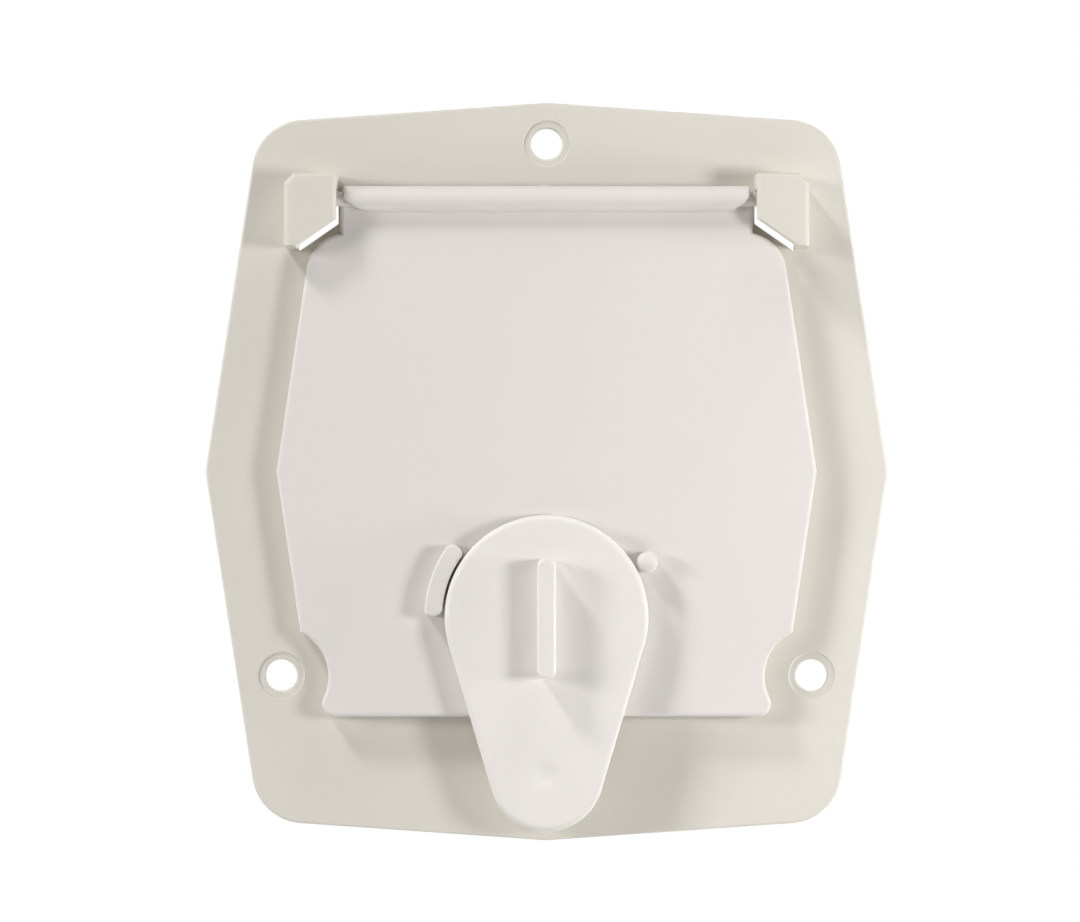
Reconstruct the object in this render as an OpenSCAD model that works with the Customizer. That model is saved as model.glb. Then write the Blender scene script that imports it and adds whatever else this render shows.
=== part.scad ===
// Power cord hatch for a caravan wall, in millimetres.
// X runs to the viewer's right and Z up. The wall's face is the plane Y = 0, and the hatch faces -Y.
// A height is a distance in front of the wall's face, so it runs along -Y.

/* [Cord mouth] */
// Width of the mouth that the cord and its plug pass through
mouth_w = 75; // [60:0.5:90]
// Height of the mouth
mouth_h = 78; // [60:0.5:90]
// Radius of the mouth's corners
mouth_corner_r = 6; // [2:0.5:12]
// Width of the slot that the cord hangs out of when the door is shut
cord_slot_w = 16.5; // [10:0.5:22]
// Wall thickness of the collar behind the flange
collar_wall = 2; // [1.2:0.1:3]
// Depth of the collar that enters the wall
collar_depth = 18; // [8:0.5:30]

/* [Door] */
// How far each side of the door reaches past the mouth
door_side_cover = 13.7; // [10:0.1:18]
// How far the door's lower edge reaches past the mouth
door_foot_cover = 7.4; // [4:0.1:12]
// How far the top of the door's shoulders reaches past the mouth
door_head_cover = 6.3; // [4:0.1:10]
// Lean of the door's side edges, in degrees
door_lean = 8.5; // [4:0.1:12]
// Radius of the door's upper shoulders
shoulder_r = 8; // [5:0.1:10]
// How far the hinge neck reaches out past the centre of each shoulder
neck_flank = 1.5; // [0.5:0.1:3]
// Height of the neck between the shoulders and the hinge axis
neck_l = 6.3; // [5:0.1:9]
// Radius of the bite that each lower corner leaves round a screw
notch_r = 9.2; // [7:0.1:11]
// Radius between each bite and the lower edge
foot_r = 2.5; // [1:0.1:4]
// Depth of the door's rim from front to back
door_depth = 3.95; // [3.5:0.05:6]
// Thickness of the door's face
door_skin = 2; // [1.2:0.1:2.6]
// Thickness of the rim round the door's back
door_rim = 1.8; // [1.2:0.1:2.4]
// Gap between the shut door's rim and the flange
door_gap = 0.35; // [0.2:0.05:0.8]

/* [Hinge] */
// Diameter of the bar along the top of the door
bar_d = 4.9; // [4:0.1:6]
// How far each end of the bar stays back from the neck's flank
bar_setback = 0.6; // [0:0.1:1.5]
// Length of the relief under each end of the bar
bar_relief = 3.2; // [1:0.1:4]
// Diameter of the pins at the ends of the bar
pin_d = 2.8; // [2:0.1:3.4]
// Radial play of the pins in their bores
pin_play = 0.05; // [0.03:0.01:0.1]
// How far each pin reaches past its bore
pin_tip = 1; // [0.5:0.1:2]

/* [Hinge blocks] */
// Gap between the neck and each block
block_gap = 0.6; // [0.3:0.1:1.2]
// Width of a block
block_w = 9.8; // [8:0.1:12]
// How far a block reaches above the hinge axis
block_above = 4.7; // [4:0.1:6]
// How far a block reaches below the hinge axis
block_below = 9.2; // [8:0.1:12]
// How far the inner edge of a block's front reaches below the hinge axis
block_lip = 3.9; // [2.5:0.1:5]
// Chamfer at the upper outer corner of a block
block_chamfer = 1.9; // [0.5:0.1:3]
// How far a block's front stands in front of the hinge axis
block_proud = 4.5; // [3.5:0.1:6]
// Thickness of a block's outer wall
block_wall = 2.2; // [1.5:0.1:3]
// Thickness of a block's upper wall
block_roof = 2.9; // [1.8:0.1:2.9]
// Thickness of a block's front wall
block_face = 1.8; // [1.2:0.1:2.2]
// Bevel round a block's front
block_bevel = 0.7; // [0.3:0.1:1]
// How far the bored cheek is set back from a block's inner edge
cheek_setback = 0.8; // [0.5:0.1:1.2]
// Thickness of the bored cheek
cheek_t = 2; // [1.5:0.1:3]
// Depth of the cheek below its bore
cheek_foot = 2; // [1:0.1:2.4]
// How far the moulding window in the flange clears the slanting edge above it
window_gap = 0.4; // [0.2:0.1:1]

/* [Turn flap] */
// Height of the flap's pivot above the door's lower edge
pivot_rise = 19; // [17:0.1:24]
// Radius of the flap's round head
head_r = 19.2; // [15:0.1:21]
// Distance from the pivot to the centre of the flap's tail
tail_l = 29.5; // [26:0.1:32]
// How far the tail reaches past the cord slot on each side
slot_cover = 2.55; // [1.5:0.05:4]
// Depth of the flap from front to back
flap_depth = 4.3; // [3.5:0.1:6]
// Gap between the flap and the door's face
flap_gap = 0.3; // [0.2:0.05:0.6]
// Thickness of the flap's face
flap_skin = 2; // [1.4:0.1:2.4]
// Thickness of the flap's rim
flap_rim = 2; // [1.4:0.1:3]
// Radius of the flap's front edge
flap_edge_r = 1.2; // [0.5:0.1:1.8]
// Length of the grip rib
grip_l = 22.2; // [15:0.1:28]
// Thickness of the grip rib at its foot
grip_foot_t = 3.5; // [2.5:0.1:5]
// Thickness of the grip rib at its top
grip_top_t = 3; // [1.5:0.1:3.3]
// How far the grip rib stands out from the flap
grip_rise = 5.3; // [3:0.1:8]

/* [Flap pivot] */
// Diameter of the pivot post
post_d = 8; // [6:0.1:10]
// Radial play of the post in the door
post_play = 0.05; // [0.03:0.01:0.1]
// Diameter of the post's shoulder between the flap and the door
post_shoulder_d = 13; // [11:0.1:18]
// Diameter of the clip that holds the post behind the door
clip_d = 14; // [12:0.1:18]
// Thickness of the clip
clip_t = 1.2; // [0.8:0.1:1.2]
// Gap between the clip and the door's back
clip_gap = 0.2; // [0.1:0.05:0.3]

/* [Flap stops] */
// Gap between the flap's head and the stops
stop_gap = 0.5; // [0.3:0.1:1]
// Width of the curved stop
arc_w = 3.3; // [2:0.1:5]
// Angle of the curved stop's lower end, in degrees anticlockwise from the right
arc_low_end = 176; // [165:1:185]
// Angle of the curved stop's upper end
arc_high_end = 146; // [120:1:155]
// Diameter of the round stop
stop_pin_d = 3.9; // [3:0.1:5]
// Angle of the round stop
stop_pin_angle = 28.5; // [15:0.5:45]
// How far both stops stand out from the door's face
stop_rise = 4; // [3:0.1:5]
// Height of the round stop's domed end
stop_dome = 0.8; // [0.3:0.1:1.2]

/* [Flange] */
// How far the flange's sides reach past the door
flange_side = 13.8; // [12:0.1:20]
// How far the flange reaches above the hinge axis
flange_head = 18.7; // [16:0.1:25]
// How far the flange reaches below the flap's tail
flange_foot = 2.6; // [2:0.1:8]
// Lean of the flange's side edges, in degrees
flange_lean = 8.7; // [4:0.1:12]
// Slope of the flange's upper and lower edges, in degrees
flange_slope = 4; // [1:0.1:8]
// Radius of the flange's four corners
flange_corner_r = 10; // [4:0.5:14]
// Thickness of the flange
flange_t = 2.4; // [2:0.1:4]

/* [Screws] */
// Diameter of the screw holes
screw_d = 6; // [4:0.1:7]
// Diameter of the shallow ring sunk round each screw hole
screw_ring_d = 8.8; // [7.5:0.1:11]
// Depth of the shallow ring
screw_ring_depth = 0.3; // [0.1:0.1:0.8]
// Distance from the upper screw to the flange's upper edge
upper_screw_edge = 7.8; // [6:0.1:10]
// Distance from each lower screw to the flange's side edge, along X
lower_screw_edge = 8.5; // [7:0.1:11]
// Height of the lower screws above the door's lower edge
lower_screw_rise = 7.6; // [6:0.1:9]

/* [Hidden] */
$fn = 96;
// How far a cut runs past the surface that it opens
over = 1;

// Heights in front of the wall's face
door_back = flange_t + door_gap;
door_face = door_back + door_depth;
axis_height = door_face;
flap_back = door_face + flap_gap;
flap_face = flap_back + flap_depth;
block_front = axis_height + block_proud;

// The door's outline
door_half = mouth_w / 2 + door_side_cover;
door_foot = -mouth_h / 2 - door_foot_cover;
door_top = mouth_h / 2 + door_head_cover;
door_run = tan(door_lean);
shoulder_z = door_top - shoulder_r;
shoulder_x = door_half - door_run * shoulder_z - shoulder_r / cos(door_lean);
neck_half = shoulder_x + neck_flank;
hinge_z = door_top + neck_l;
bar_end = neck_half - bar_setback;

// The flap and the slot that its tail covers
pivot_z = door_foot + pivot_rise;
tail_z = pivot_z - tail_l;
slot_r = cord_slot_w / 2;
tail_r = slot_r + slot_cover;

// The flange's outline
flange_half = door_half + flange_side;
flange_top = hinge_z + flange_head;
flange_bottom = tail_z - tail_r - flange_foot;
flange_run = tan(flange_lean);
flange_fall = tan(flange_slope);

// The screws
upper_screw_z = flange_top - upper_screw_edge;
lower_screw_z = door_foot + lower_screw_rise;
lower_screw_x = flange_half - flange_run * abs(lower_screw_z) - lower_screw_edge;
screws = [[0, upper_screw_z], [-lower_screw_x, lower_screw_z], [lower_screw_x, lower_screw_z]];

// The round feet that join the bites to the door's lower edge
foot_z = door_foot + foot_r;
foot_x = lower_screw_x - sqrt(pow(notch_r + foot_r, 2) - pow(lower_screw_z - foot_z, 2));

// The hinge blocks
block_in = neck_half + block_gap;
block_out = block_in + block_w;
block_top = hinge_z + block_above;
block_bottom = hinge_z - block_below;
block_lip_z = hinge_z - block_lip;
wall_in = block_out - block_wall;
roof_z = block_top - block_roof;
cheek_in = block_in + cheek_setback;
cheek_out = cheek_in + cheek_t;
bore_r = pin_d / 2 + pin_play;
wall_rise = block_front - block_bevel - flange_t;
slant = atan2(block_lip_z - block_bottom, wall_in - block_in);
window_drop = window_gap / cos(slant);

// The pivot
clip_front = door_face - door_skin - clip_gap;
post_end = clip_front - clip_t;

plastic = [0.93, 0.92, 0.89];

// A slab that stands height h in front of the wall's face and is t thick
module slab(h, t) {
    translate([0, -h, 0]) rotate([90, 0, 0]) linear_extrude(t) children();
}

// A round bar along X, at the hinge axis
module axis_rod(r, x0, x1) {
    translate([x0, -axis_height, hinge_z]) rotate([0, 90, 0]) cylinder(r = r, h = x1 - x0);
}

module both_sides() {
    children();
    mirror([1, 0, 0]) children();
}

function unit(v) = v / norm(v);

// Where the flange's leaning side meets its sloping end, for an end at distance h from the middle
function flange_corner(h) =
    let (x = (flange_half - flange_run * h) / (1 - flange_run * flange_fall))
    [x, h - flange_fall * x];

// A convex outline through the points p, anticlockwise, with a radius from the list r at each of them
module rounded_outline(p, r) {
    n = len(p);
    way_in = [for (i = [0 : n - 1]) unit(p[(i + n - 1) % n] - p[i])];
    way_out = [for (i = [0 : n - 1]) unit(p[(i + 1) % n] - p[i])];
    half_angle = [for (i = [0 : n - 1]) acos(way_in[i] * way_out[i]) / 2];
    polygon([for (i = [0 : n - 1]) each [
        p[i] + way_in[i] * r[i] / tan(half_angle[i]),
        p[i] + way_out[i] * r[i] / tan(half_angle[i])]]);
    for (i = [0 : n - 1])
        translate(p[i] + unit(way_in[i] + way_out[i]) * r[i] / sin(half_angle[i])) circle(r[i]);
}

module flange_outline() {
    up = flange_corner(flange_top);
    down = flange_corner(-flange_bottom);
    c = flange_corner_r;
    rounded_outline(
        [[0, flange_bottom], [down[0], -down[1]], [flange_half, 0], up,
         [0, flange_top], [-up[0], up[1]], [-flange_half, 0], [-down[0], -down[1]]],
        [c, c, c, c, c, c, c, c]);
}

// The mouth with the cord slot below it, grown outwards by grow
module keyhole(grow) {
    w = mouth_w / 2 + grow;
    h = mouth_h / 2 + grow;
    r = mouth_corner_r + grow;
    rounded_outline([[-w, -h], [w, -h], [w, h], [-w, h]], [r, r, r, r]);
    translate([-slot_r - grow, tail_z]) square([2 * (slot_r + grow), -tail_z]);
    translate([0, tail_z]) circle(slot_r + grow);
}

// The door's outline, drawn inwards by inset
module door_outline(inset) {
    half = door_half - inset / cos(door_lean);
    r = shoulder_r - inset;
    side = [
        [foot_x, door_foot + inset],
        [foot_x, foot_z],
        [lower_screw_x, lower_screw_z],
        [half - door_run * abs(lower_screw_z), lower_screw_z],
        [half, 0],
        [shoulder_x + r * cos(door_lean), shoulder_z + r * sin(door_lean)],
        [shoulder_x, shoulder_z + r]];
    n = len(side);
    difference() {
        union() {
            polygon(concat(side, [for (i = [n - 1 : -1 : 0]) [-side[i][0], side[i][1]]]));
            both_sides() translate([shoulder_x, shoulder_z]) circle(r);
        }
        both_sides() translate([lower_screw_x, lower_screw_z]) circle(notch_r + inset);
    }
    both_sides() translate([foot_x, foot_z]) circle(foot_r - inset);
}

// The flap's outline: two circles and the lines that touch both, drawn inwards by inset
module flap_outline(inset) {
    a = head_r - inset;
    b = tail_r - inset;
    tilt = asin((a - b) / tail_l);
    n = [cos(tilt), -sin(tilt)];
    translate([0, pivot_z]) {
        circle(a);
        translate([0, -tail_l]) circle(b);
        polygon([a * n, [0, -tail_l] + b * n,
                 [-b * n[0], b * n[1] - tail_l], [-a * n[0], a * n[1]]]);
    }
}

// A disc on the wall's side of the flap's face, with a rounded front edge
module edged_disc(r, z) {
    e = flap_edge_r;
    steps = 6;
    translate([0, -flap_back, z]) rotate([90, 0, 0]) rotate_extrude($fn = 48)
        polygon(concat([[0, 0], [r, 0]],
            [for (i = [0 : steps]) let (t = 90 * i / steps)
                [r - e + e * cos(t), flap_depth - e + e * sin(t)]],
            [[0, flap_depth]]));
}

module block_outline() {
    polygon([[block_in, block_top], [block_in, block_lip_z], [wall_in, block_bottom],
             [block_out, block_bottom], [block_out, block_top - block_chamfer],
             [block_out - block_chamfer, block_top]]);
}

module block_window() {
    polygon([[block_in, roof_z], [block_in, block_lip_z - window_drop],
             [wall_in, block_bottom - window_drop], [wall_in, roof_z]]);
}

// One hinge block, on the right: a hood that is open below and behind, with a bored cheek
module hinge_block() {
    hull() {
        slab(block_front - block_face, block_face - block_bevel) block_outline();
        slab(block_front - block_face, block_face) offset(delta = -block_bevel) block_outline();
    }
    slab(flange_t, wall_rise) intersection() {
        block_outline();
        union() {
            translate([wall_in, block_bottom]) square([block_wall, block_top - block_bottom]);
            translate([block_in, roof_z]) square([block_w, block_roof]);
        }
    }
    difference() {
        slab(flange_t, wall_rise)
            translate([cheek_in, hinge_z - bore_r - cheek_foot])
                square([cheek_t, block_top - hinge_z + bore_r + cheek_foot]);
        axis_rod(bore_r, cheek_in - over, cheek_out + over);
    }
}

// The bar and its pins. A quarter of a circle is cut out from under each end of the bar.
module bar_and_pins() {
    r = bar_d / 2;
    start = bar_end - bar_relief;
    difference() {
        axis_rod(r, -bar_end, bar_end);
        both_sides() slab(axis_height - r - over, 2 * (r + over)) difference() {
            translate([start, hinge_z - r - over]) square([bar_relief + over, bar_relief + over]);
            translate([start, hinge_z - r + bar_relief]) circle(bar_relief);
        }
    }
    axis_rod(pin_d / 2, -cheek_out - pin_tip, cheek_out + pin_tip);
}

module mount_plate() {
    color(plastic) difference() {
        slab(0, flange_t) difference() {
            flange_outline();
            keyhole(collar_wall);
            both_sides() block_window();
            for (s = screws) translate(s) circle(d = screw_d);
        }
        slab(flange_t - screw_ring_depth, screw_ring_depth + over)
            for (s = screws) translate(s) circle(d = screw_ring_d);
    }
}

// The collar runs from the flange's front, so that only the flange's own back lies on the wall
module wall_collar() {
    color(plastic) slab(-collar_depth, collar_depth + flange_t) difference() {
        keyhole(collar_wall);
        keyhole(0);
    }
}

module hinge_block_left() {
    color(plastic) mirror([1, 0, 0]) hinge_block();
}

module hinge_block_right() {
    color(plastic) hinge_block();
}

module door_panel() {
    color(plastic) difference() {
        union() {
            slab(door_back, door_depth) door_outline(0);
            slab(door_face - door_skin, door_skin) translate([-neck_half, shoulder_z])
                square([2 * neck_half, hinge_z - shoulder_z]);
        }
        slab(door_back - over, door_depth - door_skin + over) door_outline(door_rim);
        slab(door_back - over, door_depth + 2 * over) translate([0, pivot_z])
            circle(post_d / 2 + post_play);
        bar_and_pins();
    }
}

module hinge_bar() {
    color(plastic) bar_and_pins();
}

module stop_arc() {
    r = head_r + stop_gap + arc_w / 2;
    reach = 2 * r;
    color(plastic) slab(door_face, stop_rise) translate([0, pivot_z]) {
        intersection() {
            difference() {
                circle(r + arc_w / 2);
                circle(r - arc_w / 2);
            }
            polygon([[0, 0], reach * [cos(arc_high_end), sin(arc_high_end)],
                     reach * [cos(arc_low_end), sin(arc_low_end)]]);
        }
        for (a = [arc_high_end, arc_low_end]) translate(r * [cos(a), sin(a)]) circle(d = arc_w);
    }
}

module stop_pin() {
    a = stop_pin_d / 2;
    r = head_r + stop_gap + a;
    // The dome is the cap of a sphere that passes through the rim of the pin
    dome_r = (a * a + stop_dome * stop_dome) / (2 * stop_dome);
    color(plastic)
        translate([r * cos(stop_pin_angle), -door_face, pivot_z + r * sin(stop_pin_angle)])
            rotate([90, 0, 0]) intersection() {
                cylinder(r = a, h = stop_rise);
                translate([0, 0, stop_rise - dome_r]) sphere(dome_r);
            }
}

module turn_flap() {
    color(plastic) difference() {
        hull() {
            edged_disc(head_r, pivot_z);
            edged_disc(tail_r, tail_z);
        }
        slab(flap_back - over, flap_depth - flap_skin + over) flap_outline(flap_rim);
    }
}

module grip_rib() {
    color(plastic) hull() {
        slab(flap_face, 0.01) grip_outline(grip_foot_t);
        slab(flap_face + grip_rise - 0.01, 0.01) grip_outline(grip_top_t);
    }
}

// A bar with round ends, t thick
module grip_outline(t) {
    hull() for (s = [-1, 1]) translate([0, pivot_z + s * (grip_l - t) / 2]) circle(d = t, $fn = 32);
}

module pivot_post() {
    color(plastic) {
        slab(post_end, flap_face - flap_skin - post_end) translate([0, pivot_z]) circle(d = post_d);
        slab(flap_back, flap_depth - flap_skin) translate([0, pivot_z]) circle(d = post_shoulder_d);
    }
}

module post_clip() {
    color(plastic) slab(post_end, clip_t) translate([0, pivot_z]) difference() {
        circle(d = clip_d);
        circle(d = post_d);
    }
}

mount_plate();
wall_collar();
hinge_block_left();
hinge_block_right();
door_panel();
hinge_bar();
stop_arc();
stop_pin();
turn_flap();
grip_rib();
pivot_post();
post_clip();
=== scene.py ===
import math

import bmesh
import bpy
import numpy as np
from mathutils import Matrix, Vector
from mathutils.geometry import delaunay_2d_cdt


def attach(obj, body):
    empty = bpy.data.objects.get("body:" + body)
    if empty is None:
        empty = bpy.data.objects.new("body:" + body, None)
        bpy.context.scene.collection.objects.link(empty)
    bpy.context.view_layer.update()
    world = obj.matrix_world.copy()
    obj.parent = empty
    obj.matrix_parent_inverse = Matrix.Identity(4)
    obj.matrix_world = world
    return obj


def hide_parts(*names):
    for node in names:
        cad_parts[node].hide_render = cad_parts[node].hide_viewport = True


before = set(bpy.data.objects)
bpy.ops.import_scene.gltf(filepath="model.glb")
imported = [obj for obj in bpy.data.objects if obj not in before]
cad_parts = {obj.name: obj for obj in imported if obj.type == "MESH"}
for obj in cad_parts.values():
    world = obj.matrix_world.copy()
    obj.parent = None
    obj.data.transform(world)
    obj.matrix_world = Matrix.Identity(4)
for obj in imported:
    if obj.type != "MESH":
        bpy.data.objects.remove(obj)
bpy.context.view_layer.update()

# A power cord hatch for a caravan wall, moulded in warm white plastic.
# Sizes are in millimetres. x runs to the viewer's right and z up, and a height is measured from the wall's face
# towards the viewer. A piece's place goes into its mesh in metres, as (x, -height, z).
MM = 0.001
LAP = 0.1  # how far a piece is let into the one that carries it
RIM_ROUND = 0.25  # the edges of a thin rim's free end
WELD = 1e-7  # points that are closer than this, in metres, are one
SHARP = math.radians(16)  # edges that turn by more than this stay sharp

# The mouth behind the door, and its collar
MOUTH_HALF_W, MOUTH_HALF_H, MOUTH_R = 37.5, 39.0, 6.0
SLOT_R = 8.25
COLLAR_WALL, COLLAR_DEPTH = 2.0, 18.0

# The door
DOOR_HALF, DOOR_FOOT, DOOR_LEAN = 51.2, -46.4, math.radians(8.5)
SHOULDER_TOP, SHOULDER_R, NECK_FLANK, HINGE_Z = 45.3, 8.0, 1.5, 51.6
NOTCH_R, FOOT_R = 9.2, 2.5
DOOR_BACK, DOOR_FACE, DOOR_SKIN, DOOR_RIM = 2.75, 6.7, 2.0, 1.8
SHOULDER_Z = SHOULDER_TOP - SHOULDER_R
SHOULDER_X = DOOR_HALF - math.tan(DOOR_LEAN) * SHOULDER_Z - SHOULDER_R / math.cos(DOOR_LEAN)
NECK_HALF = SHOULDER_X + NECK_FLANK
SIDE_POINTS, TOP_POINTS = 26, 11  # on the shoulder's arc, before and after the neck's flank

# The bar, which is cut away under its ends along a quarter of an ellipse, and its pins
BAR_SHORT, HOOD_GAP = 0.6, 0.6  # from the neck's flank in to the bar's end, and out to the hood
BAR_R, BAR_END, BAR_EDGE, PIN_R, PIN_TIP, PIN_EDGE = 2.45, NECK_HALF - BAR_SHORT, 0.35, 1.4, 1.0, 0.4
RELIEF_RUN, RELIEF_A, RELIEF_B, RELIEF_BLEND = 5.6, 5.8, 4.4, 0.3

# The hoods that the pins turn in, with their cheeks and the windows behind them
HOOD_W, HOOD_RISE, HOOD_DROP, LIP_DROP, HOOD_STEP = 9.8, 4.7, 9.2, 3.9, 4.5
HOOD_CHAMFER, HOOD_CORNER, HOOD_ROOF, HOOD_WALL, HOOD_FACE = 1.9, 0.5, 2.9, 2.2, 1.8
HOOD_IN = NECK_HALF + HOOD_GAP
HOOD_OUT, HOOD_TOP, HOOD_BOTTOM = HOOD_IN + HOOD_W, HINGE_Z + HOOD_RISE, HINGE_Z - HOOD_DROP
HOOD_LIP, ROOF_Z, HOOD_WALL_IN = HINGE_Z - LIP_DROP, HOOD_TOP - HOOD_ROOF, HOOD_OUT - HOOD_WALL
HOOD_FRONT = DOOR_FACE + HOOD_STEP
HOOD_BACK = HOOD_FRONT - HOOD_FACE
CHEEK_IN, CHEEK_OUT, CHEEK_FOOT, CHEEK_TOP, BORE_R = HOOD_IN + 0.8, HOOD_IN + 2.8, 2.0, 0.3, 1.45
WINDOW_R, WINDOW_GAP = 0.15, 0.4
WINDOW_DROP = WINDOW_GAP / math.cos(math.atan2(HOOD_LIP - HOOD_BOTTOM, HOOD_WALL_IN - HOOD_IN))

# The turn flap, its grip, its pivot and its stops
PIVOT_Z, TAIL_Z, HEAD_R, TAIL_R = -27.4, -56.9, 19.2, 10.8
FLAP_BACK, FLAP_FACE, FLAP_SKIN, FLAP_RIM = 7.0, 11.3, 2.0, 2.0
FLAP_TILT = math.asin((HEAD_R - TAIL_R) / (PIVOT_Z - TAIL_Z))
SINK_X, SINK_Z, SINK_R, SINK_WIDTH, SINK_DEPTH, SINK_FLOOR_R = -0.2, -57.2, 4.8, 1.9, 0.35, 0.12
GRIP_HALF_L, GRIP_FOOT, GRIP_TOP, GRIP_RISE, GRIP_R, GRIP_UPPER_R = 11.1, 3.5, 3.0, 5.3, 1.0, 1.4
POST_R, POST_PLAY, SHOULDER_POST_R, POST_END = 4.0, 0.05, 6.5, 3.3
CLIP_R, CLIP_T = 7.0, 1.2
STOP_IN, STOP_W, STOP_RISE = HEAD_R + 0.5, 3.3, 4.0
STOP_HIGH, STOP_LOW = 146.0, 175.0
STOP_PIN_R, STOP_PIN_ANGLE, STOP_PIN_DOME = 1.95, math.radians(28.5), 0.8

# The flange and its screw holes
FLANGE_T, FLANGE_R = 2.4, 10.0
FLANGE_HALF, FLANGE_TOP, FLANGE_FOOT = 65.0, 70.3, -70.3
FLANGE_RUN, FLANGE_FALL = math.tan(math.radians(8.7)), math.tan(math.radians(4))
SCREW_R, SCREW_DISH_R, SCREW_RING_DEPTH, SCREW_BEVEL = 3.0, 4.4, 0.3, 0.3
SCREW_X, SCREW_Z, TOP_SCREW_Z = 50.56, -38.8, 62.5


# Outlines. Each is a function of an inset: the distance from the edge into the plastic.

def unit(v):
    """The same ways, each with the length 1."""
    return v / np.linalg.norm(v, axis=-1, keepdims=True)


def arc(x, z, r, start, end, count):
    """Points of a circle's arc about (x, z), from one angle in degrees to the other."""
    a = np.radians(np.linspace(start, end, count))
    return np.stack([x + r * np.cos(a), z + r * np.sin(a)], 1)


def rounded(corners, radius, inset, count):
    """A convex outline, anticlockwise. Its sides move inwards by the inset. At each corner the centre of the arc lies
    on the corner's bisector, (rest of radius + inset) / sin(half the corner) from the corner, and the arc turns from
    the outward normal of the side before to that of the side after."""
    p = np.asarray(corners, float)
    before, after = unit(np.roll(p, 1, 0) - p), unit(np.roll(p, -1, 0) - p)
    half = np.arccos(np.clip(np.sum(before * after, 1), -1, 1)) / 2
    rest = np.maximum(np.broadcast_to(radius, len(p)) - inset, 0)
    centre = p + unit(before + after) * ((rest + inset) / np.sin(half))[:, None]
    first = np.arctan2(before[:, 0], -before[:, 1])
    angle = first[:, None] + (math.pi - 2 * half)[:, None] * np.linspace(0, 1, count)
    way = np.stack([np.cos(angle), np.sin(angle)], -1)
    return (centre[:, None] + rest[:, None, None] * way).reshape(-1, 2)


def disc(x, z, r, count=96):
    """A round outline about (x, z)."""
    return lambda inset: arc(x, z, r - inset, 0, 360, count + 1)[:-1]


def hole(outline):
    """The same outline as the edge of a hole, so that the inset grows outwards and the points run clockwise."""
    return lambda inset: outline(-inset)[::-1]


def flange_outline(inset):
    """Eight sides. A corner is where the leaning side x = half - run z meets the falling end z = h - fall x."""
    def corner(h):
        x = (FLANGE_HALF - FLANGE_RUN * h) / (1 - FLANGE_RUN * FLANGE_FALL)
        return x, h - FLANGE_FALL * x
    (ux, uz), (dx, dz) = corner(FLANGE_TOP), corner(-FLANGE_FOOT)
    return rounded([(0, FLANGE_FOOT), (dx, -dz), (FLANGE_HALF, 0), (ux, uz), (0, FLANGE_TOP), (-ux, uz),
                    (-FLANGE_HALF, 0), (-dx, -dz)], FLANGE_R, inset, 20)


def mouth_outline(inset):
    """The mouth and the round-ended slot below it, anticlockwise, grown by a negative inset."""
    g, w, h = -inset, MOUTH_HALF_W - MOUTH_R, MOUTH_HALF_H - MOUTH_R
    return np.concatenate([
        arc(0, TAIL_Z, SLOT_R + g, 180, 360, 40), [[SLOT_R + g, -MOUTH_HALF_H - g]],
        arc(w, -h, MOUTH_R + g, -90, 0, 18), arc(w, h, MOUTH_R + g, 0, 90, 18),
        arc(-w, h, MOUTH_R + g, 90, 180, 18), arc(-w, -h, MOUTH_R + g, 180, 270, 18),
        [[-SLOT_R - g, -MOUTH_HALF_H - g]]])


def both_halves(right):
    """The right half of an outline, from its lowest point on the middle line to its highest, and its mirror image."""
    return np.concatenate([right, (right * [-1, 1])[::-1]])


def door_right_side(inset):
    """The door's lower right corner and side: the foot's arc, the bite round the screw as far as the point where its
    circle crosses the leaning side, and the side's middle."""
    foot_z = DOOR_FOOT + FOOT_R
    foot_x = SCREW_X - math.sqrt((NOTCH_R + FOOT_R) ** 2 - (SCREW_Z - foot_z) ** 2)
    to_screw = math.degrees(math.atan2(SCREW_Z - foot_z, SCREW_X - foot_x))
    half, run, bite = DOOR_HALF - inset / math.cos(DOOR_LEAN), math.tan(DOOR_LEAN), NOTCH_R + inset
    # (half + run z - screw x)^2 + (z - screw z)^2 = bite^2, solved for the upper z
    a, b = 1 + run * run, run * (half - SCREW_X) - SCREW_Z
    c = (half - SCREW_X) ** 2 + SCREW_Z ** 2 - bite * bite
    z = (-b + math.sqrt(b * b - a * c)) / a
    side = math.degrees(math.atan2(z - SCREW_Z, half + run * z - SCREW_X))
    return np.concatenate([arc(foot_x, foot_z, FOOT_R - inset, -90, to_screw, 24),
                           arc(SCREW_X, SCREW_Z, bite, to_screw + 180, side, 30), [[half, 0]]])


def shoulder(inset, start, end, count):
    """Part of the arc round the door's right shoulder. The neck's flank crosses its circle at the angle whose cosine
    is (flank - inset) / (radius - inset), and an end is given as an angle or, for that one, as None."""
    meet = math.degrees(math.acos((NECK_FLANK - inset) / (SHOULDER_R - inset)))
    return arc(SHOULDER_X, SHOULDER_Z, SHOULDER_R - inset, meet if start is None else start,
               meet if end is None else end, count)


def door_outline(inset):
    """The door without its neck. Past the neck's flank, where that doesn't cross the shoulder's arc any more, as many
    points go evenly along the arc."""
    lean = math.degrees(DOOR_LEAN)
    if inset > NECK_FLANK:
        top = shoulder(inset, lean, 90, SIDE_POINTS + TOP_POINTS - 1)
    else:
        top = np.concatenate([shoulder(inset, lean, None, SIDE_POINTS), shoulder(inset, None, 90, TOP_POINTS)[1:]])
    return both_halves(np.concatenate([door_right_side(inset), top]))


def face_outline(inset):
    """The door's face with the neck."""
    side = shoulder(inset, math.degrees(DOOR_LEAN), None, SIDE_POINTS)
    return both_halves(np.concatenate([door_right_side(inset), side, [[NECK_HALF - inset, HINGE_Z]]]))


def neck_outline(inset):
    """The neck alone, down to the edge of the door without it."""
    top = shoulder(inset, 90, None, TOP_POINTS)
    return np.concatenate([[[NECK_HALF, HINGE_Z], [-NECK_HALF, HINGE_Z]], (top * [-1, 1])[::-1], top])


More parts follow.
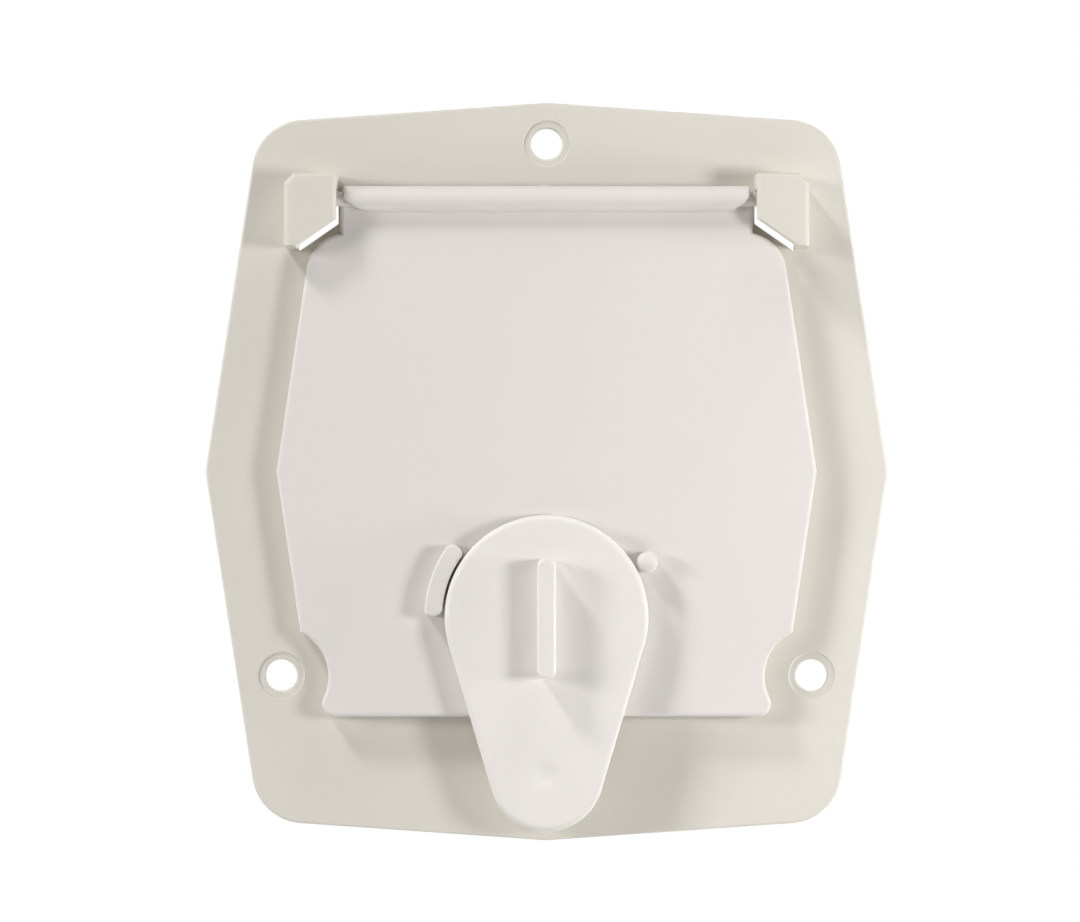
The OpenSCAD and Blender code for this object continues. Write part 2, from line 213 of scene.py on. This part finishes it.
def flap_outline(inset):
    """Two circles and the lines that touch both."""
    t = math.degrees(FLAP_TILT)
    return np.concatenate([arc(0, PIVOT_Z, HEAD_R - inset, -t, 180 + t, 90),
                           arc(0, TAIL_Z, TAIL_R - inset, 180 + t, 360 - t, 60)])


def grip_outline(inset):
    """A bar whose upper end is rounder than its lower one. Its ends lean in half as much as its sides."""
    w, end, r = GRIP_FOOT / 2 - inset, GRIP_HALF_L - inset / 2, GRIP_R - inset / 2
    return rounded([(-w, PIVOT_Z - end), (w, PIVOT_Z - end), (w, PIVOT_Z + end), (-w, PIVOT_Z + end)],
                   (r, r, GRIP_UPPER_R * r, GRIP_UPPER_R * r), 0, 16)


def cap(x, z, r, start, first, second):
    """Half a superellipse about (x, z), from the angle start: |u|^n + |v|^n = r^n, where n is first on the side that
    it starts from and second on the other. A half circle's n is 2, and the ends grow squarer with it. The points lie
    at u = r cos(t)^(2/n) and v = r sin(t)^(2/n)."""
    t, a = np.linspace(0, np.pi, 24), math.radians(start)
    power = 2 / np.where(np.cos(t) > 0, first, second)
    u, v = np.sign(np.cos(t)) * np.abs(np.cos(t)) ** power, np.abs(np.sin(t)) ** power
    return np.array([x, z]) + r * (u[:, None] * [math.cos(a), math.sin(a)] + v[:, None] * [-math.sin(a), math.cos(a)])


def stop_outline(inset):
    """A band round the flap's head. Its upper end is rounder than its lower one, whose corner next to the flap is
    rounded off, so that the flap clears it when it is turned."""
    middle, half = STOP_IN + STOP_W / 2, STOP_W / 2 - inset
    ends = [(middle * math.cos(math.radians(a)), PIVOT_Z + middle * math.sin(math.radians(a)))
            for a in (STOP_HIGH, STOP_LOW)]
    return np.concatenate([arc(0, PIVOT_Z, middle + half, STOP_HIGH, STOP_LOW, 24),
                           cap(*ends[1], half, STOP_LOW, 4.0, 2.0)[1:],
                           arc(0, PIVOT_Z, middle - half, STOP_LOW, STOP_HIGH, 24)[1:],
                           cap(*ends[0], half, STOP_HIGH + 180, 2.5, 2.5)[1:-1]])


def hood_outline(inset):
    """The hood's front. Its lower and slanting sides move inwards by a third of the inset, so that their front edges
    are crisper than the others. The slanting side is the line z = lip + slope (x - inner side)."""
    low, c = inset / 3, HOOD_CHAMFER + (math.sqrt(2) - 1) * inset
    slope = (HOOD_BOTTOM - HOOD_LIP) / (HOOD_WALL_IN - HOOD_IN)
    lip = HOOD_LIP + low * math.hypot(1, slope)
    return rounded([(HOOD_IN + inset, HOOD_TOP - inset), (HOOD_IN + inset, lip + slope * inset),
                    (HOOD_IN + (HOOD_BOTTOM + low - lip) / slope, HOOD_BOTTOM + low),
                    (HOOD_OUT - inset, HOOD_BOTTOM + low), (HOOD_OUT - inset, HOOD_TOP - c),
                    (HOOD_OUT - c, HOOD_TOP - inset)], max(HOOD_CORNER - inset, 0), 0, 6)


def window_outline(inset):
    """The window that a moulding core leaves in the flange: the hood's own hollow, a little lower."""
    return rounded([(HOOD_IN, ROOF_Z), (HOOD_IN, HOOD_LIP - WINDOW_DROP), (HOOD_WALL_IN, HOOD_BOTTOM - WINDOW_DROP),
                    (HOOD_WALL_IN, ROOF_Z)], WINDOW_R, inset, 4)


# Profiles are lists of (inset, height), from the front face's edge round to the back face's edge.

def edge(r, height, turn=1, steps=8, inset=0.0):
    """A quarter of a circle between a flat face at this height and a side wall at this inset. Turn 1 is a front edge,
    from the face to the wall, and turn -1 a back edge, from the wall to the face."""
    t = np.linspace(0, math.pi / 2, steps + 1)
    if turn > 0:
        return [(inset + r - r * s, height - r + r * c) for s, c in zip(np.sin(t), np.cos(t))]
    return [(inset + r - r * c, height + r - r * s) for s, c in zip(np.sin(t), np.cos(t))]


def wall(r, high, low, steps):
    """A side wall with the same round edge at its front and its back."""
    return edge(r, high, 1, steps) + edge(r, low, -1, steps)


def free_end(r, width, low, floor):
    """The back end of a thin wall, round on both sides, and the wall's inner side as far as the height floor."""
    outer = edge(r, low, -1, 4)
    return outer + [(width - a, h) for a, h in outer[::-1]] + [(width, floor)]


# Pieces

def added(name, data):
    """A new object in the scene."""
    obj = bpy.data.objects.new(name, data)
    bpy.context.scene.collection.objects.link(obj)
    return obj


class Form:
    """The skin of one piece, gathered as points and faces and welded when it is made into a mesh."""

    def __init__(self):
        self.points, self.faces, self.count = [], [], 0

    def add(self, points, faces):
        self.points.append(np.asarray(points, float).reshape(-1, 3))
        self.faces += [[i + self.count for i in face] for face in faces]
        self.count += len(self.points[-1])

    def ring(self, outline, profile):
        """The profile carried along the outline: point (i, j) is outline(inset j)[i] at height j. The faces point
        away from the plastic, because the outline runs anticlockwise round it."""
        loops = np.stack([outline(inset) for inset, _ in profile])
        heights = np.array([h for _, h in profile])[:, None] + np.zeros(loops.shape[1])
        self.add(np.stack([loops[..., 0], -heights, loops[..., 1]], -1), grid(*loops.shape[:2]))

    def flat(self, outlines, height, front=True):
        """The flat face between an outer outline and the outlines of its holes, each given with its inset."""
        loops = [outline(inset) for outline, inset in outlines]
        flat, ends = np.concatenate(loops), np.concatenate([np.roll(loop, -1, 0) for loop in loops])
        first = np.cumsum([0] + [len(loop) for loop in loops])
        sides = [(s + i, s + (i + 1) % len(loop)) for s, loop in zip(first, loops) for i in range(len(loop))]
        _, _, faces, ids, _, _ = delaunay_2d_cdt([Vector(p) for p in flat], sides, [], 0, 1e-6, True)
        points, faces = flat[[i[0] for i in ids]], np.array(faces)
        # A triangle is kept where a ray from its middle towards +x crosses the outlines an odd number of times
        x, z = points[faces].mean(1).T[..., None]
        above, below = flat[:, 1] > z, ends[:, 1] > z
        with np.errstate(divide="ignore", invalid="ignore"):
            crossing = flat[:, 0] + (z - flat[:, 1]) / (ends[:, 1] - flat[:, 1]) * (ends[:, 0] - flat[:, 0])
        kept = ((above != below) & (crossing > x)).sum(1) % 2 == 1
        faces = faces[kept] if front else faces[kept][:, ::-1]
        self.add(np.insert(points, 1, -height, axis=1), faces.tolist())

    def solid(self, *walls):
        """Walls, each an outline and its profile, with the flat faces between their first and their last edges."""
        first, last = ([(outline, profile[end][0]) for outline, profile in walls] for end in (0, -1))
        self.flat(first, walls[0][1][0][1])
        for outline, profile in walls:
            self.ring(outline, profile)
        self.flat(last, walls[0][1][-1][1], front=False)

    def rod(self, points):
        """Rings of points along a rod, with a flat face at each end."""
        rows, columns = points.shape[:2]
        ends = [list(range(columns - 1, -1, -1)), list(range((rows - 1) * columns, rows * columns))]
        self.add(points, [face[::-1] for face in grid(rows, columns)] + ends)

    def stub(self, x, z, half_w, half_h, low, high):
        """What is left of the gate that the melt came through: a small block with soft edges, let into the wall."""
        def block(inset):
            w, h = half_w - inset, half_h - inset
            return rounded([(x - w, z - h), (x + w, z - h), (x + w, z + h), (x - w, z + h)], 0.12, 0, 3)
        self.solid((block, wall(0.1, high, low, 2)))

    def mirrored(self):
        """The same form on the left, its faces turned so that they still point outwards."""
        other = Form()
        other.add(np.concatenate(self.points) * [-1, 1, 1], [face[::-1] for face in self.faces])
        return other

    def piece(self, name, material, body, slot, *nodes):
        """Makes the object, whose place is in its mesh, and lets it stand for the nodes."""
        mesh = bpy.data.meshes.new(name)
        mesh.from_pydata((np.concatenate(self.points) * MM).tolist(), [], self.faces)
        welded = bmesh.new()
        welded.from_mesh(mesh)
        bmesh.ops.remove_doubles(welded, verts=welded.verts, dist=WELD)
        welded.to_mesh(mesh)
        welded.free()
        mesh.polygons.foreach_set("use_smooth", np.ones(len(mesh.polygons), bool))
        mesh.set_sharp_from_angle(angle=SHARP)
        mesh.materials.append(material)
        obj = added(name, mesh)
        even = obj.modifiers.new("even shading", "WEIGHTED_NORMAL")
        even.keep_sharp, even.weight = True, 100
        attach(obj, body)
        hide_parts(*nodes)


def grid(rows, columns):
    """Faces between neighbouring rows of points, each row a closed loop."""
    r, c = np.meshgrid(np.arange(rows - 1), np.arange(columns), indexing="ij")
    here, below, beside = r * columns, (r + 1) * columns, (c + 1) % columns
    return np.stack([here + c, below + c, below + beside, here + beside], -1).reshape(-1, 4).tolist()


# Finishes

class Wire:
    """One outlet of a node in a material. Arithmetic on wires and numbers adds Math nodes."""

    def __init__(self, socket):
        self.socket = socket

    def node(self, kind, settings, inlets, outlet=0):
        """Adds a node of this kind to the material, with its settings first and then a value or wire for each inlet,
        and gives the wire of one outlet."""
        made = self.socket.id_data.nodes.new(kind)
        for name, value in settings.items():
            setattr(made, name, value)
        for name, value in inlets.items():
            if isinstance(value, Wire):
                self.socket.id_data.links.new(value.socket, made.inputs[name])
            else:
                made.inputs[name].default_value = value
        return Wire(made.outputs[outlet])

    def math(self, operation, *values):
        return self.node("ShaderNodeMath", {"operation": operation}, dict(enumerate(values)))

    def __add__(self, other):
        return self.math("ADD", self, other)

    def __sub__(self, other):
        return self.math("SUBTRACT", self, other)

    def __rsub__(self, other):
        return self.math("SUBTRACT", other, self)

    def __mul__(self, other):
        return self.math("MULTIPLY", self, other)

    def __truediv__(self, other):
        return self.math("DIVIDE", self, other)

    def __rtruediv__(self, other):
        return self.math("DIVIDE", other, self)

    __radd__, __rmul__ = __add__, __mul__

    def noise(self, scale, detail=2.0, roughness=0.5):
        """Cloudy noise on these coordinates, scale blobs to the metre."""
        return self.node("ShaderNodeTexNoise", {"noise_dimensions": "3D"},
                         {"Vector": self, "Scale": scale, "Detail": detail, "Roughness": roughness})

    def blend(self, low, high):
        """The colour from low to high as this wire goes from 0 to 1."""
        return self.node("ShaderNodeMix", {"data_type": "RGBA", "clamp_factor": True},
                         {0: self, 6: (*low, 1.0), 7: (*high, 1.0)}, 2)

    def to(self, socket):
        self.socket.id_data.links.new(self.socket, socket)


def moulded_plastic(name, colour, shade, roughness, grain):
    """Satin moulded plastic. The melt's flow leaves slow clouds that shift the tone towards shade, a fine eroded
    grain in the mould, whose height is given in metres, breaks up the gloss, and the faces swell a little."""
    material = bpy.data.materials.new(name)
    material.use_nodes = True
    tree = material.node_tree
    shader = tree.nodes["Principled BSDF"]
    place = Wire(tree.nodes.new("ShaderNodeTexCoord").outputs["Object"])
    flow, fine, swell = place.noise(35, 3), place.noise(2600, 2, 0.6), place.noise(60, 1)
    swell_height, uneven = 0.00003, 0.06
    # The noise keeps near its middle, so it is spread before it blends the colours
    (flow * 1.4 - 0.2).blend(shade, colour).to(shader.inputs["Base Color"])
    (roughness - 0.05 + uneven * flow + uneven * fine).to(shader.inputs["Roughness"])
    bump = {"Height": swell * swell_height + fine * grain, "Distance": 1.0, "Strength": 1.0}
    place.node("ShaderNodeBump", {}, bump).to(shader.inputs["Normal"])
    shader.inputs["IOR"].default_value = 1.5
    return material


# Name, colour, shade, roughness, grain
frame_plastic = moulded_plastic("frame plastic", (0.681, 0.648, 0.584), (0.665, 0.633, 0.566), 0.54, 0.000002)
door_plastic = moulded_plastic("door plastic", (0.715, 0.681, 0.652), (0.701, 0.668, 0.634), 0.52, 0.000002)
flap_plastic = moulded_plastic("flap plastic", (0.768, 0.735, 0.703), (0.754, 0.721, 0.684), 0.52, 0.000002)
clip_plastic = moulded_plastic("clip plastic", (0.70, 0.68, 0.63), (0.68, 0.66, 0.60), 0.6, 0.000003)


# The flange and its collar, one moulding

def flange():
    """One moulding: the flange with its holes, and the collar as the long free end of the mouth's edge."""
    def window_left(inset):
        return window_outline(-inset) * [-1, 1]

    rim, back_rim, lip, end, nick, soft = 0.45, 0.2, 0.4, 0.3, 0.12, 0.1
    # A screw hole: a soft step down to a flat ring, a narrow bevel and the bore
    dish, floor = SCREW_DISH_R - SCREW_R, FLANGE_T - SCREW_RING_DEPTH
    bore = (edge(soft, FLANGE_T, 1, 3, dish) + [(dish - a, 2 * floor - h) for a, h in edge(nick, floor, 1, 3)[::-1]]
            + [(SCREW_BEVEL, floor), (nick, floor - soft), (0, floor - SCREW_BEVEL), (0, soft), (soft, 0)])
    window = wall(nick, FLANGE_T, 0, 3)
    screws = [hole(disc(x, z, SCREW_R, 64)) for x, z in ((0, TOP_SCREW_Z), (-SCREW_X, SCREW_Z), (SCREW_X, SCREW_Z))]
    form = Form()
    form.solid((flange_outline, edge(rim, FLANGE_T) + edge(back_rim, 0, -1, 3)),
               (hole(mouth_outline), edge(lip, FLANGE_T, 1, 6) + free_end(end, COLLAR_WALL, -COLLAR_DEPTH, 0)),
               (hole(window_outline), window), (window_left, window), *((screw, bore) for screw in screws))
    form.piece("flange_moulding", frame_plastic, "flange", "frame_plastic", "mount_plate", "wall_collar")


# The hoods over the hinge pins

def hood():
    """A front plate with a rounded edge, and the outer and upper walls under it."""
    walls = np.array([(HOOD_IN, HOOD_TOP), (HOOD_IN, ROOF_Z), (HOOD_WALL_IN, ROOF_Z), (HOOD_WALL_IN, HOOD_BOTTOM),
                      (HOOD_OUT, HOOD_BOTTOM), (HOOD_OUT, HOOD_TOP - HOOD_CHAMFER),
                      (HOOD_OUT - HOOD_CHAMFER, HOOD_TOP)])
    form, rim, nick = Form(), 1.1, 0.1
    form.solid((hood_outline, edge(rim, HOOD_FRONT) + edge(nick, HOOD_BACK, -1, 2)))
    form.solid((lambda inset: walls, [(0, HOOD_BACK + LAP), (0, FLANGE_T)]))
    return form


def cheek():
    """A wall across x with a round bore: its outline is in y and z, and its height runs along x."""
    low, high = FLANGE_T, HOOD_BACK + LAP
    foot, top = HINGE_Z - BORE_R - CHEEK_FOOT, HOOD_TOP - CHEEK_TOP

    def side(inset):
        return np.array([(-high + inset, foot + inset), (-low - inset, foot + inset), (-low - inset, top - inset),
                         (-high + inset, top - inset)])

    profile = wall(0.15, CHEEK_OUT, CHEEK_IN, 3)
    form = Form()
    form.solid((side, profile), (hole(disc(-DOOR_FACE, HINGE_Z, BORE_R, 48)), profile))
    # (u, -w, v) is turned to (w, u, v)
    points = np.concatenate(form.points)
    form.points = [np.stack([-points[:, 1], points[:, 0], points[:, 2]], 1)]
    return form


def hoods():
    """The right hood with its cheek, and their mirror image."""
    right, bored = hood(), cheek()
    right.add(np.concatenate(bored.points), bored.faces)
    right.mirrored().piece("hinge_hood_left", frame_plastic, "flange", "frame_plastic", "hinge_block_left")
    right.piece("hinge_hood_right", frame_plastic, "flange", "frame_plastic", "hinge_block_right")


# The door and its bar

def door():
    """The face with its neck, and the rim round the door's back."""
    rim, nick, back = 0.8, 0.2, DOOR_FACE - DOOR_SKIN
    post_hole = hole(disc(0, PIVOT_Z, POST_R + POST_PLAY))
    form = Form()
    form.flat([(face_outline, rim), (post_hole, nick)], DOOR_FACE)
    form.ring(face_outline, edge(rim, DOOR_FACE) + [(0, back)])
    form.ring(post_hole, wall(nick, DOOR_FACE, back, 3))
    form.flat([(neck_outline, 0)], back, front=False)
    form.ring(door_outline, [(0, back)] + free_end(RIM_ROUND, DOOR_RIM, DOOR_BACK, back))
    form.flat([(door_outline, DOOR_RIM), (post_hole, nick)], back, front=False)
    form.piece("door_moulding", door_plastic, "door", "door_plastic", "door_panel")


def bar():
    """A round bar along x. Its section is a circle whose lower part is lifted to a floor. The floor rises over the
    last few millimetres along a quarter of an ellipse with the half axes A and B, lift = B (1 - sqrt(1 - s s)) at
    A s along it, and (a + b + sqrt((a - b)^2 + k^2)) / 2 blends circle and floor. The end's edge is rounded by
    scaling the section towards its middle. A pin's radius holds to the tip and then closes along a quarter circle."""
    form, start, least = Form(), BAR_END - RELIEF_RUN, 0.9
    along = start + RELIEF_RUN * np.sin(np.linspace(0, np.pi / 2, 22)) - BAR_EDGE
    t = np.linspace(0, np.pi / 2, 7)
    last = BAR_END - BAR_EDGE + BAR_EDGE * np.sin(t[1:])
    shrink = np.concatenate([np.zeros(len(along)), BAR_EDGE * (1 - np.cos(t[1:]))])
    along = np.concatenate([along, last])
    x = np.concatenate([-along[::-1], [-20, 0, 20], along])
    shrink = np.concatenate([shrink[::-1], [0, 0, 0], shrink])[:, None]
    s = np.clip((np.abs(x) - start) / RELIEF_A, 0, 1)
    lift = (RELIEF_B * (1 - np.sqrt(1 - s * s)))[:, None]
    floor, blend = lift - BAR_R, np.minimum(RELIEF_BLEND, lift)
    turn = np.linspace(0, 2 * np.pi, 65)[:-1]
    y, z = BAR_R * np.cos(turn) + 0 * floor, BAR_R * np.sin(turn) + 0 * floor
    z = (z + floor + np.sqrt((z - floor) ** 2 + blend ** 2)) / 2
    middle = z.mean(1, keepdims=True)
    scale = 1 - shrink / np.maximum(BAR_R - lift / 2, least)
    y, z = y * scale, middle + (z - middle) * scale
    form.rod(np.stack([x[:, None] + 0 * y, y - DOOR_FACE, z + HINGE_Z], -1))
    reach = np.append(start, CHEEK_OUT + PIN_TIP - PIN_EDGE + PIN_EDGE * np.sin(t[:-1]))[:, None]
    radius = np.append(PIN_R, PIN_R - PIN_EDGE + PIN_EDGE * np.cos(t[:-1]))[:, None]
    for s in (-1, 1):
        turn = s * np.linspace(0, 2 * np.pi, 49)[:-1]
        y, z = radius * np.cos(turn) - DOOR_FACE, radius * np.sin(turn) + HINGE_Z
        form.rod(np.stack([s * reach + 0 * turn, y, z], -1))
    form.stub(x=-0.3, z=HINGE_Z + BAR_R - 0.15, half_w=0.6, half_h=0.35, low=DOOR_FACE - 0.6, high=DOOR_FACE + 0.7)
    form.piece("bar_and_pins", door_plastic, "door", "door_plastic", "hinge_bar")


def stops():
    """The two stops beside the flap's head."""
    band, pin = Form(), Form()
    top, foot = DOOR_FACE + STOP_RISE, DOOR_FACE - LAP
    band.solid((stop_outline, edge(0.45, top) + [(0, foot)]))
    band.piece("curved_stop", door_plastic, "door", "door_plastic", "stop_arc")
    reach = STOP_IN + STOP_PIN_R
    post = disc(reach * math.cos(STOP_PIN_ANGLE), PIVOT_Z + reach * math.sin(STOP_PIN_ANGLE), STOP_PIN_R, 48)
    # The pin's end is the cap of a sphere, with a soft edge where it meets the side
    ball = (STOP_PIN_R ** 2 + STOP_PIN_DOME ** 2) / (2 * STOP_PIN_DOME)
    dome = [(STOP_PIN_R * (1 - u), top - ball + math.sqrt(ball ** 2 - (u * STOP_PIN_R) ** 2))
            for u in np.linspace(0.02, 0.93, 12)]
    rim = top - STOP_PIN_DOME
    pin.solid((post, dome + [(0.04, rim - 0.05), (0, rim - 0.15), (0, foot)]))
    pin.piece("round_stop", door_plastic, "door", "door_plastic", "stop_pin")


# The turn flap

def flap():
    """A shell, open behind. The sink mark on its tail is a shallow round dip, whose depth goes with
    1 / (1 + (r / width)^4) at the distance r from its middle."""
    form, rim, pocket = Form(), 1.1, FLAP_FACE - FLAP_SKIN
    sink = hole(disc(SINK_X, SINK_Z, SINK_R, 64))
    r = np.linspace(SINK_R, SINK_FLOOR_R, 20)
    depth = 1 / (1 + (r / SINK_WIDTH) ** 4)
    height = FLAP_FACE - SINK_DEPTH * (depth - depth[0])
    form.flat([(flap_outline, rim), (sink, 0)], FLAP_FACE)
    form.ring(sink, list(zip(r - SINK_R, height)))
    form.flat([(disc(SINK_X, SINK_Z, SINK_FLOOR_R, 64), 0)], height[-1])
    form.ring(flap_outline, edge(rim, FLAP_FACE) + free_end(RIM_ROUND, FLAP_RIM, FLAP_BACK, pocket))
    form.flat([(flap_outline, FLAP_RIM)], pocket, front=False)
    form.stub(x=1.5, z=PIVOT_Z + HEAD_R - 0.15, half_w=0.55, half_h=0.35, low=FLAP_BACK + 1, high=FLAP_FACE - 0.75)
    form.piece("flap_moulding", flap_plastic, "flap", "flap_plastic", "turn_flap")


def grip():
    """The rib's sides lean in from a short upright foot."""
    form, foot = Form(), 0.1
    lean = (GRIP_FOOT - GRIP_TOP) / 2 - foot
    form.solid((grip_outline, edge(0.5, FLAP_FACE + GRIP_RISE, inset=lean)
                + [(foot, FLAP_FACE + 0.3), (0, FLAP_FACE), (0, FLAP_FACE - 2 * LAP)]))
    form.piece("grip_rib_moulding", flap_plastic, "flap", "flap_plastic", "grip_rib")


def pivot():
    """The post with its wider shoulder under the flap, and the clip behind the door."""
    post, clip = Form(), Form()
    shaft, step = disc(0, PIVOT_Z, POST_R), POST_R - SHOULDER_POST_R
    post.solid((shaft, [(step, FLAP_FACE - FLAP_SKIN + LAP)] + edge(0.2, FLAP_BACK, -1, 4, step)
                + [(0, FLAP_BACK)] + edge(0.4, POST_END, -1, 5)))
    post.piece("pivot_post_moulding", flap_plastic, "flap", "flap_plastic", "pivot_post")
    front = POST_END + CLIP_T
    clip.solid((disc(0, PIVOT_Z, CLIP_R), wall(0.25, front, POST_END, 4)),
               (hole(disc(0, PIVOT_Z, POST_R)), wall(0.1, front, POST_END, 2)))
    clip.piece("post_clip_ring", clip_plastic, "flap", "clip_plastic", "post_clip")


flange()
hoods()
door()
bar()
stops()
flap()
grip()
pivot()


# The studio: a pale floor that fades into a white ground, soft lamps and the camera

def ground():
    """A round floor below the hatch, as rings of points, whose colour goes over to the white ground towards its
    rim. Its lengths are in metres."""
    radius, level = np.array([0.1, 0.22, 0.36, 0.5])[:, None], -0.22
    fade_from, fade_over = 0.2, 0.25
    a = np.linspace(0, 2 * np.pi, 65)[:-1]
    points = np.stack([radius * np.cos(a), radius * np.sin(a), level + 0 * radius * a], -1)
    mesh = bpy.data.meshes.new("floor")
    mesh.from_pydata(points.reshape(-1, 3).tolist(), [], grid(*points.shape[:2]) + [list(range(len(a)))])
    floor = added("floor", mesh)
    material = bpy.data.materials.new("pale floor")
    material.use_nodes = True
    tree = material.node_tree
    tree.nodes.clear()
    place = Wire(tree.nodes.new("ShaderNodeTexCoord").outputs["Object"])
    away = place.node("ShaderNodeVectorMath", {"operation": "LENGTH"}, {0: place}, 1)
    fade = place.math("MAXIMUM", place.math("MINIMUM", (away - fade_from) / fade_over, 1.0), 0.0)
    pale = place.node("ShaderNodeBsdfDiffuse", {}, {"Color": (0.82, 0.82, 0.82, 1)})
    white = place.node("ShaderNodeEmission", {}, {"Color": (1, 1, 1, 1), "Strength": 1.0})
    seen = Wire(tree.nodes.new("ShaderNodeLightPath").outputs["Is Camera Ray"])
    surface = place.node("ShaderNodeMixShader", {}, {0: fade * seen, 1: pale, 2: white})
    # From below it is clear, so that it doesn't hide the hatch
    below = Wire(tree.nodes.new("ShaderNodeNewGeometry").outputs["Backfacing"])
    clear = place.node("ShaderNodeBsdfTransparent", {}, {"Color": (1, 1, 1, 1)})
    surface = place.node("ShaderNodeMixShader", {}, {0: below, 1: surface, 2: clear})
    surface.to(tree.nodes.new("ShaderNodeOutputMaterial").inputs["Surface"])
    mesh.materials.append(material)


def white_ground(ambient, tint):
    """The world is plain white where the camera or a reflection sees it, and a soft light elsewhere."""
    world = bpy.data.worlds.new("studio")
    world.use_nodes = True
    bpy.context.scene.world = world
    tree = world.node_tree
    back = tree.nodes["Background"]
    rays = tree.nodes.new("ShaderNodeLightPath").outputs
    seen = Wire(rays["Is Camera Ray"])
    for ray in ("Is Glossy Ray", "Is Transmission Ray"):
        seen = seen.math("MAXIMUM", seen, Wire(rays[ray]))
    (seen * (1 - ambient) + ambient).to(back.inputs["Strength"])
    seen.blend(tint, (1.0, 1.0, 1.0)).to(back.inputs["Color"])


def softbox(name, azimuth, elevation, distance, size, power):
    """A square lamp that faces the hatch. Azimuth is the clock angle seen from the front, in degrees anticlockwise
    from the right, and elevation is the angle above the wall. Lengths are in metres and the power in watts."""
    a, e = math.radians(azimuth), math.radians(elevation)
    way = Vector((math.cos(a) * math.cos(e), -math.sin(e), math.sin(a) * math.cos(e)))
    light = bpy.data.lights.new(name, "AREA")
    light.shape, light.size, light.energy = "SQUARE", size, power
    lamp = added(name, light)
    lamp.location = way * distance
    lamp.rotation_euler = (-way).to_track_quat("-Z", "Y").to_euler()


def camera():
    """Straight in front of the hatch. The lens covers this width of the flange's front, in metres, from this far.
    The picture's middle is a little to the left of the hatch's middle and above it."""
    covered, distance, sensor = 0.2058, 0.65, 36
    data = bpy.data.cameras.new("camera")
    data.sensor_width, data.lens = sensor, sensor * distance / covered
    data.clip_start, data.clip_end = 0.01, 20
    eye = added("camera", data)
    eye.location = (-0.00124, -FLANGE_T * MM - distance, 0.00202)
    eye.rotation_euler = (math.pi / 2, 0, 0)
    bpy.context.scene.camera = eye


ground()
white_ground(ambient=0.01, tint=(1.0, 0.9, 0.75))
# Name, azimuth, elevation, distance, size, power
softbox("upper left key", 125, 20.5, 1.06, 0.16, 5.7)
softbox("upper edge light", 72, 14, 0.8, 0.16, 1.15)
softbox("right softbox", 1, 41, 0.45, 0.1, 0.99)
softbox("right edge light", 0, 10, 0.6, 0.12, 1.36)
softbox("left softbox", 167, 27, 1.2, 0.25, 6.2)
softbox("left edge light", 180, 10, 1.0, 0.2, 0.6)
softbox("back fill", 60, -70, 0.9, 0.6, 5.5)
camera()
bpy.context.scene.view_settings.view_transform = "Standard"
